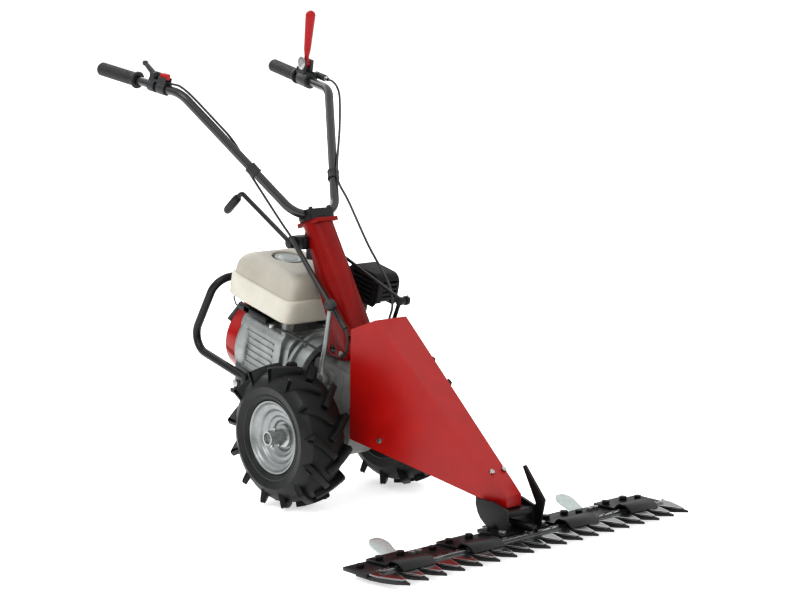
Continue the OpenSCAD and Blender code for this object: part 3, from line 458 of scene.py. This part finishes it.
# Control plate under the tank: a pressed black strip on the case, with the governor's wire at its rear end.
# The black strips stand partly for the black parts there and partly as painted shade under the tank.
plate = bmesh.new()
strips = (((-99, 238, 186), (-66, 330, 190)), ((-100, 231, 186), (-92, 346, 200)),
          ((-100, 300, 186), (-72, 322, 204)))
for low, high in strips:
    block(plate, low, high, 1.2)
bmesh.ops.transform(plate, matrix=TILT, verts=plate.verts)
settle(plate, "control_plate_and_painted_shade", "chassis", [black_powder], (), 40)
wire = bmesh.new()
tube(wire, bend([(-96, 330, 196), (-100, 352, 190), (-100, 366, 206), (-96, 360, 236)], 9, 8), 2.0, 10)
bmesh.ops.transform(wire, matrix=TILT, verts=wire.verts)
settle(wire, "governor_wire", "chassis", [black_powder], (), 60)


# Column: a steel tube between two side plates with a flange on top, sprayed red.
# The plates are welded along both sides of the tube and screwed to the seat on the gearbox.
# Enamel of the column: the sheet metal's red painted darker as painted shade, with less haze in it
column_shaded_enamel, tree, shader, place = begin("red_enamel_painted_shade", IOR=1.5, Specular_IOR_Level=0.2)
mottle(tree, shader, place, "#6c0806", "#7a0b08", 60, (0.24, 0.32), 1.0, 0.03)
eased("column", column_shaded_enamel, 1.2, 3)
eased("lever_bracket", black_powder, 1.5, 3)

# Hood: folded sheet steel over the drive, powder-coated red, with a fold along each side.
# It is held by two screws on its nose and one on each side.
# Powder coat on the sheet: the same red, duller, with a soft haze
hood_powder, tree, shader, place = begin("red_powder_coat", IOR=1.5, Specular_IOR_Level=0.35)
mottle(tree, shader, place, "#8a0b08", "#980f0b", 60, (0.32, 0.40), 1.6, 0.04)
hood = merged("hood")
# The side is folded on a line from its rear edge to the nose.
# The part above leans out, and the part below tucks in, by these slopes.
roof = (Vector((0, -0.113, 0.452)), Vector((0, -0.492, 0.130)))
fold = (Vector((0, -0.035, 0.360)), Vector((0, -0.522, 0.088)))
LEAN, TUCK = 0.040, 0.105


def below(spot, line):
    """How far a spot lies under a line, seen from the side."""
    run = (line[1] - line[0]).normalized()
    return (spot - line[0]).dot(Vector((0, -run.z, run.y)))


def folded(spot):
    """A spot of the flat side, moved with the fold; the middle of the roof and nose stays."""
    if abs(spot.x) < 0.015:
        return spot
    out = LEAN * max(0.0, below(spot, roof)) - TUCK * max(0.0, below(spot, fold))
    return spot + Vector((math.copysign(out, spot.x), 0, 0))


run = (fold[1] - fold[0]).normalized()
bmesh.ops.bisect_plane(hood, geom=hood.verts[:] + hood.edges[:] + hood.faces[:], dist=0.000001,
                       plane_co=fold[0], plane_no=Vector((0, -run.z, run.y)))
for vert in hood.verts:
    vert.co = folded(vert.co)
round_off(hood, creases(hood, 20), 0.0014, 3)
bmesh.ops.triangulate(hood, faces=[f for f in hood.faces if len(f.verts) > 4])
settle(hood, "folded_hood", "chassis", [hood_powder], ["hood"], 3)

# Screws: hexagon heads, zinc-plated on the hood and castings, oxide-black on the clips of the bar.
# Black oxide on steel: a thin dark skin with a dull metal shine
black_oxide, tree, shader, place = begin("black_oxide_steel", Metallic=0.7)
mottle(tree, shader, place, "#1b1b1c", "#2a2a2b", 8, (0.35, 0.5), 0.6, 0.04)
fasteners = eased("screws", zinc_plate, 0.8, 2)
fasteners.data.materials.append(black_oxide)
# The hood's side screws move with its fold
SIDE_SCREW_Y, SIDE_SCREW_Z = -0.133, 0.171
for vert in fasteners.data.vertices:
    if abs(vert.co.y - SIDE_SCREW_Y) < 0.02 and abs(vert.co.z - SIDE_SCREW_Z) < 0.02:
        vert.co = folded(vert.co)
# The clips stand this far to each side of the bar's middle
BAR_MIDDLE = -0.008
CLIPS_AT = (0.15, 0.35)
for polygon in fasteners.data.polygons:
    spot = polygon.center
    beside_clip = min(abs(abs(spot.x - BAR_MIDDLE) - c) for c in CLIPS_AT)
    if spot.y < -0.48 and spot.z < 0.05 and beside_clip < 0.045:
        polygon.material_index = 1

# Levers: the gear lever is a bent rod on the gearbox with a black ball knob;
# the blade lever turns a cross shaft behind the column, and a link and arm carry its motion to the gearbox.
gear_rod = eased("gear_lever", cast_alloy, 0.6)
gear_rod.data.materials.append(black_nylon)
KNOB, KNOB_R = Vector((-0.075, 0.017, 0.476)), 0.0165
for polygon in gear_rod.data.polygons:
    if (polygon.center - KNOB).length < KNOB_R:
        polygon.material_index = 1
eased("blade_lever", black_powder, 0.8)
eased("blade_rod", black_powder, 0.4)
eased("blade_arm", black_oxide, 0.8)
# Cotter ring through the end of the link pin
cotter = bmesh.new()
ring_at = Vector((0.0655, -0.102, 0.492))
turns = [a * math.tau / 24 for a in range(24)]
tube(cotter, [ring_at + 0.007 * Vector((0, math.sin(a), math.cos(a))) for a in turns], 0.0008, 8)
settle(cotter, "cotter_ring", "blade_arm", [zinc_plate], (), 60)


# Handlebar: one bent steel tube, 22 mm across, enamelled black.
# A round plate turns on the column's flange, and a clamp holds the tube down on it with four screws.
def ground(point):
    """Millimetres from the ground under the axle, as metres in the frame."""
    return Vector((point[0], point[1] + 56, point[2])) / 1000


def flipped(points):
    """The same points on the operator's other side."""
    return [(-p[0], p[1], p[2]) for p in points]


GRIP_END = Vector((-272, 609, 1020))
ARM_BEND = Vector((-231, 331, 965))
ARM_FOOT = Vector((-62, 104.7, 676.3))
right_arm = [GRIP_END, ARM_BEND, ARM_FOOT]
bar_tube = bmesh.new()
tube(bar_tube, [ground(p) for p in bend(right_arm + flipped(right_arm)[::-1], 62, 12)], 0.011, 32)
# Gloss enamel on the tube: black, smoother than the powder coat of the brackets
handle_enamel, tree, shader, place = begin("gloss_black_enamel", IOR=1.5, Coat_Weight=0.2, Coat_Roughness=0.2)
mottle(tree, shader, place, "#1a1a1c", "#242426", 40, (0.2, 0.3), 1.0, 0.03)
settle(bar_tube, "bent_handle_tube", "handlebar", [handle_enamel], ["handlebar"], 50)
eased("swivel_plate", black_powder, 1.2, 3)

# Grips: moulded rubber, pushed over the tube's ends, with ring grooves and a flange for the thumb.
# Vulcanised rubber: nearly black and dull, with paler drifts
grip_rubber, tree, shader, place = begin("ribbed_grip_rubber", IOR=1.52, Specular_IOR_Level=0.4)
mottle(tree, shader, place, "#191919", "#262626", 14, (0.5, 0.68), 0.8, 0.06)
groove = ((17, 0), (16.2, 1), (16.2, 2.2), (17, 3.2))
rings = [(r, start + a) for start in range(8, 118, 7) for r, a in groove]
grip_side = [(0, -4), (11, -3.8), (15, -2.6), (17, 1)] + rings + [
    (17, 126), (19, 127), (21, 128.4), (21, 132.6), (20, 134), (13, 134), (11.1, 133)]
ALONG = (ARM_BEND - GRIP_END).normalized()
for hand, side in ((1, "right"), (-1, "left")):
    grip = bmesh.new()
    turned(grip, grip_side, ground(GRIP_END), ALONG, 40)
    if hand < 0:
        flip_over(grip)
    settle(grip, "rubber_grip_" + side, "handlebar", [grip_rubber], ["grips"], 45)

# Right-hand controls: a moulded clamp with the throttle's thumb lever and the red stop switch.
# Left-hand controls: a moulded clamp with the red clutch lever, its catch and the cable's adjuster.
eased("throttle_mount", black_nylon, 1.0, 3)
eased("throttle_lever", black_nylon, 1.4, 3)
eased("clutch_mount", black_nylon, 1.2, 3)
# Red nylon of the lever, the catch and the switch: moulded through, half glossy
red_nylon, tree, shader, place = begin("moulded_red_nylon", IOR=1.53, Specular_IOR_Level=0.25)
mottle(tree, shader, place, "#8e0c10", "#9c1216", 20, (0.34, 0.46), 1.0, 0.04)
eased("stop_switch", red_nylon, 1.4, 3)
eased("clutch_lever", red_nylon, 1.0, 3)
eased("clutch_latch", red_nylon, 1.0, 3)


def arm_point(hand, up, out, along):
    """A point in the frame of a grip: up, outwards and along the tube from its end."""
    high = Vector((0.0280, -0.1900, 0.9814))
    wide = Vector((-0.9893, -0.1459, 0.0))
    point = GRIP_END + high * up + wide * out + ALONG * along
    return ground((hand * point.x, point.y, point.z))


# Bright zinc washers on the two pivot pins, and the ferrule on the clutch cable's adjuster
for name, hand, up, along, inner, radius in (("lever_pivot_washer", -1, 42, 164, -14, 17),
                                             ("throttle_pivot_washer", 1, 25, 190, -10.8, 5.5)):
    washer = bmesh.new()
    way = (arm_point(hand, up, -20, along) - arm_point(hand, up, 0, along)).normalized()
    turned(washer, [(0, 2.2), (radius * 0.45, 2.2), (radius * 0.5, 1.4), (radius * 0.92, 1.4), (radius, 0.8),
                    (radius, -0.4), (0, -0.4)], arm_point(hand, up, inner, along), way, 40)
    settle(washer, name, "handlebar", [zinc_plate], (), 30)
ferrule = bmesh.new()
turned(ferrule, [(5.1, -2), (6.6, -1.6), (6.6, 4), (5.4, 4.6), (5.4, 12.4), (4.6, 13.6), (3.1, 14)],
       arm_point(-1, 14, 26, 224), Vector((-ALONG.x, ALONG.y, ALONG.z)), 32)
settle(ferrule, "cable_ferrule", "handlebar", [zinc_plate], (), 30)


# Control cables: a steel wire in a black plastic-covered sheath, 6 mm across, from each control
# to the throttle arm on the engine and to the clutch in the gearbox.
# Each is held to its arm by a band.
# Extruded vinyl over a wire coil: black, smooth, half glossy
cable_vinyl, tree, shader, place = begin("extruded_black_vinyl", IOR=1.54)
mottle(tree, shader, place, "#121213", "#1c1c1d", 12, (0.34, 0.46), 0.7, 0.03)


def beside(t, turn):
    """A point of a cable that lies along the right arm."""
    down = (ARM_FOOT - ARM_BEND).normalized()
    face = down.cross(Vector((0.75, 0.65, 0))).normalized()
    return ARM_BEND.lerp(ARM_FOOT, t) + 15.5 * (face * math.cos(math.radians(turn))
                                                + face.cross(down) * math.sin(math.radians(turn)))


def smooth_path(points, steps):
    """A curve through the points, with a few steps from each to the next."""
    points = [ground(p) for p in points]
    path = []
    for i in range(len(points) - 1):
        before, here, after, beyond = (points[max(i - 1, 0)], points[i], points[i + 1],
                                       points[min(i + 2, len(points) - 1)])
        slope = after - before
        bow = before * 2 - here * 5 + after * 4 - beyond
        twist = here * 3 - before - after * 3 + beyond
        for k in range(steps):
            t = k / steps
            path.append(here + slope * (t / 2) + bow * (t * t / 2) + twist * (t * t * t / 2))
    return path + [points[-1]]


throttle_route = [(-237.5, 374.5, 988), (-234, 352, 986.5), (-229.5, 331, 980.5), beside(0.07, 0),
                  beside(0.3, 0), beside(0.38, 30), beside(0.46, 60), beside(0.52, 90), beside(0.58, 120),
                  beside(0.63, 150), beside(0.68, 180),
                  (-104, 150, 700), (-86, 126, 655), (-72, 108, 622), (-60, 84, 578), (-52, 34, 515),
                  (-50, -20, 460), (-52, -66, 420), (-56, -78, 385), (-56, -62, 352), (-56, -20, 348),
                  (-66, 40, 366), (-90, 96, 392), (-100, 128, 402)]
clutch_route = [(263, 370, 987.5), (260, 350, 984), (255, 326, 970), (247, 306, 942), (205, 257, 869)]
clutch_route += flipped([beside(0.64, -45), beside(0.78, -45)])
clutch_route += [(105, 103, 697), (98, 24, 600), (76, -74, 520), (54, -114, 474), (40, -118, 440),
                 (28, -118, 407), (20, -121, 370), (18, -129, 335), (18, -133.4, 296)]
for name, node, route, start, end in (
        ("throttle_bowden", "throttle_cable", throttle_route, (-60, 84, 578), (-104, 150, 700)),
        ("clutch_bowden", "clutch_cable", clutch_route, (98, 24, 600), (105, 103, 697))):
    path = smooth_path(route, 5)
    sheath = bmesh.new()
    tube(sheath, path, 0.003, 14)
    cable = settle(sheath, name, "", [cable_vinyl], [node], 60)
    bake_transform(cable)
# Rubber bands that hold the cables to the arms
for hand, side, t in ((1, "right", 0.63), (-1, "left", 0.71)):
    band = bmesh.new()
    way = (ARM_FOOT - ARM_BEND).normalized()
    band_side = [(11.1, -14), (14.4, -13), (15, -11), (14.2, -9), (14.2, 9), (15, 11), (14.4, 13), (11.1, 14)]
    turned(band, band_side, ground(ARM_BEND.lerp(ARM_FOOT, t)), way, 32)
    if hand < 0:
        flip_over(band)
    settle(band, "cable_band_" + side, "handlebar", [grip_rubber], (), 40)
# Vinyl sleeve over the throttle cable where it runs down the column
sleeve = bmesh.new()
sleeve_route = [(-86, 126, 655), (-72, 108, 622), (-60, 84, 578),
                (-52, 34, 515), (-50, -20, 460), (-52, -66, 420)]
tube(sleeve, smooth_path(sleeve_route, 5)[5:], 0.0062, 18)
settle(sleeve, "cable_sleeve", "chassis", [cable_vinyl], (), 60)


# Cutter bar: a long flat steel bar, painted black, with pointed fingers bolted under its front edge.
# Arched clips hold the knife down, and the drive head stands in the middle with its upright horn.
eased("cutter_bar", black_powder, 1.2, 3)
eased("drive_head", black_powder, 1.5, 3)
eased("horn", black_powder, 2.0, 3)
eased("hold_down_clips", black_powder, 1.0, 2)
# Bolts of the fingers, in the free places along the bar: black hexagon heads
bolts = bmesh.new()
for x in (-0.4398, -0.2366, 0.2206, 0.4238):
    head = bmesh.ops.create_cone(bolts, cap_ends=True, segments=6, radius1=0.0088, radius2=0.0088,
                                 depth=0.008)
    bmesh.ops.translate(bolts, vec=(x, -0.513, 0.0279), verts=head["verts"])
round_off(bolts, bolts.edges[:], 0.0007, 2)
settle(bolts, "finger_bolts", "chassis", [black_oxide], (), 40)
# Forged steel fingers, dipped black: a tough dark skin with a dull shine
forged_black, tree, shader, place = begin("dipped_forged_steel", Specular_IOR_Level=0.3, Coat_Weight=0.06,
                                          Coat_Roughness=0.3)
mottle(tree, shader, place, "#131213", "#201d1e", 14, (0.28, 0.42), 1.4, 0.1)
fingers = merged("guard_fingers")
# In front of its root, the underside of each finger rises to the point
FINGER_ROOT, FINGER_LONG, FINGER_RISE = -0.593, 0.074, 0.009
for vert in fingers.verts:
    if vert.co.y < FINGER_ROOT and vert.co.z < 0.0115:
        vert.co.z += FINGER_RISE * (FINGER_ROOT - vert.co.y) / FINGER_LONG
round_off(fingers, creases(fingers, 30), 0.0018, 3)
settle(fingers, "guard_fingers_piece", "chassis", [forged_black], ["guard_fingers"])
# Clear-lacquered black steel of the knife: dark straight on, a mirror at a low angle
lacquered_steel, tree, shader, place = begin("black_lacquered_steel", IOR=2.0, Coat_Weight=0.6,
                                             Coat_Roughness=0.06)
mottle(tree, shader, place, "#1a1a1b", "#272829", 16, (0.12, 0.22), 0.6, 0.02)
# Ground tool steel of the cutting edges: bright, with a faint grain
ground_steel, tree, shader, place = begin("ground_tool_steel", Metallic=1.0)
mottle(tree, shader, place, "#a9adac", "#c3c7c5", 16, (0.16, 0.28), 0.6, 0.02)
blade = merged("knife")
upper = [f for f in blade.faces if f.normal.z > 0.9]
tops = [f for f in upper if f.calc_center_median().y < -0.585 and f.calc_area() > 0.0008]
ring = bmesh.ops.inset_individual(blade, faces=tops, thickness=0.0032, depth=0.0, use_even_offset=True)
for face in ring["faces"]:
    face.material_index = 1
round_off(blade, creases(blade, 30), 0.0004, 2)
settle(blade, "knife_piece", "knife", [lacquered_steel, ground_steel], ["knife"])
eased("rocker", forged_black, 1.0, 2)
# Skid shoes: bent steel strip with spoon-shaped tails, hot-dip galvanised.
# Galvanised zinc: pale, matt, with a soft spangle of crystals
spangle, tree, shader, place = begin("hot_dip_galvanised_steel", Metallic=0.75)
mottle(tree, shader, place, "#a3adab", "#bcc5c3", 7, (0.36, 0.52), 0.8, 0.05)
eased("skid_shoes", spangle, 1.0, 3)


# Studio: a plain white floor under a wide bright ceiling, dim walls, and three soft lamps.
# The camera stands where the photograph was taken, and sees a plain white backdrop.
floor_shape = bmesh.new()
bmesh.ops.create_grid(floor_shape, x_segments=1, y_segments=1, size=30.0)
floor_mesh = bpy.data.meshes.new("floor")
floor_shape.to_mesh(floor_mesh)
floor_shape.free()
floor = bpy.data.objects.new("floor", floor_mesh)
bpy.context.scene.collection.objects.link(floor)
floor.location.z = -0.0005
floor_paint = begin("white_floor", Base_Color=linear("#fbfbfb"), Roughness=0.6, IOR=1.4,
                    Emission_Color=linear("#ffffff"), Emission_Strength=0.5)[0]
floor_mesh.materials.append(floor_paint)

world = bpy.data.worlds.new("room")
bpy.context.scene.world = world
world.use_nodes = True
tree = world.node_tree
tree.nodes["Background"].inputs["Color"].default_value = (1.0, 1.0, 1.0, 1.0)
height = add(tree, "SeparateXYZ", {"Vector": add(tree, "TexCoord", {}).outputs["Generated"]}).outputs["Z"]
ceiling = add(tree, "MapRange", {"Value": height, "From Min": 0.06, "From Max": 0.36,
                                 "To Min": 0.12, "To Max": 1.1})
backdrop = add(tree, "LightPath", {}).outputs["Is Camera Ray"]
glow = add(tree, "Mix", {0: backdrop, 2: ceiling.outputs["Result"], 3: 1.0}, data_type="FLOAT")
tree.links.new(glow.outputs[0], tree.nodes["Background"].inputs["Strength"])
for name, where, aim, size, power in (
        ("key", (-3.2, -1.2, 3.6), (0.0, -0.1, 0.4), 2.6, 60.0),
        ("fill", (2.6, -3.4, 2.4), (0.0, -0.1, 0.4), 3.0, 5.0),
        ("back", (0.5, 3.2, 3.0), (0.0, 0.0, 0.6), 2.6, 40.0)):
    lamp = bpy.data.objects.new(name, bpy.data.lights.new(name, "AREA"))
    lamp.data.size = size
    lamp.data.energy = power
    lamp.location = where
    lamp.rotation_mode = "QUATERNION"
    lamp.rotation_quaternion = (Vector(aim) - Vector(where)).to_track_quat("-Z", "Y")
    bpy.context.scene.collection.objects.link(lamp)

camera = bpy.data.objects.new("camera", bpy.data.cameras.new("camera"))
bpy.context.scene.collection.objects.link(camera)
bpy.context.scene.camera = camera
camera.data.sensor_width = 36.0
camera.data.lens = 86.8
camera.location = (-2.956, -3.442, 1.146)
bearing = math.radians(-41.88)
rise = math.radians(8.32)
backwards = Vector((math.sin(bearing) * math.cos(rise), -math.cos(bearing) * math.cos(rise), math.sin(rise)))
camera.rotation_mode = "QUATERNION"
camera.rotation_quaternion = (-backwards).to_track_quat("-Z", "Y")
bpy.context.scene.view_settings.view_transform = "Standard"
bpy.context.scene.view_settings.look = "Medium High Contrast"
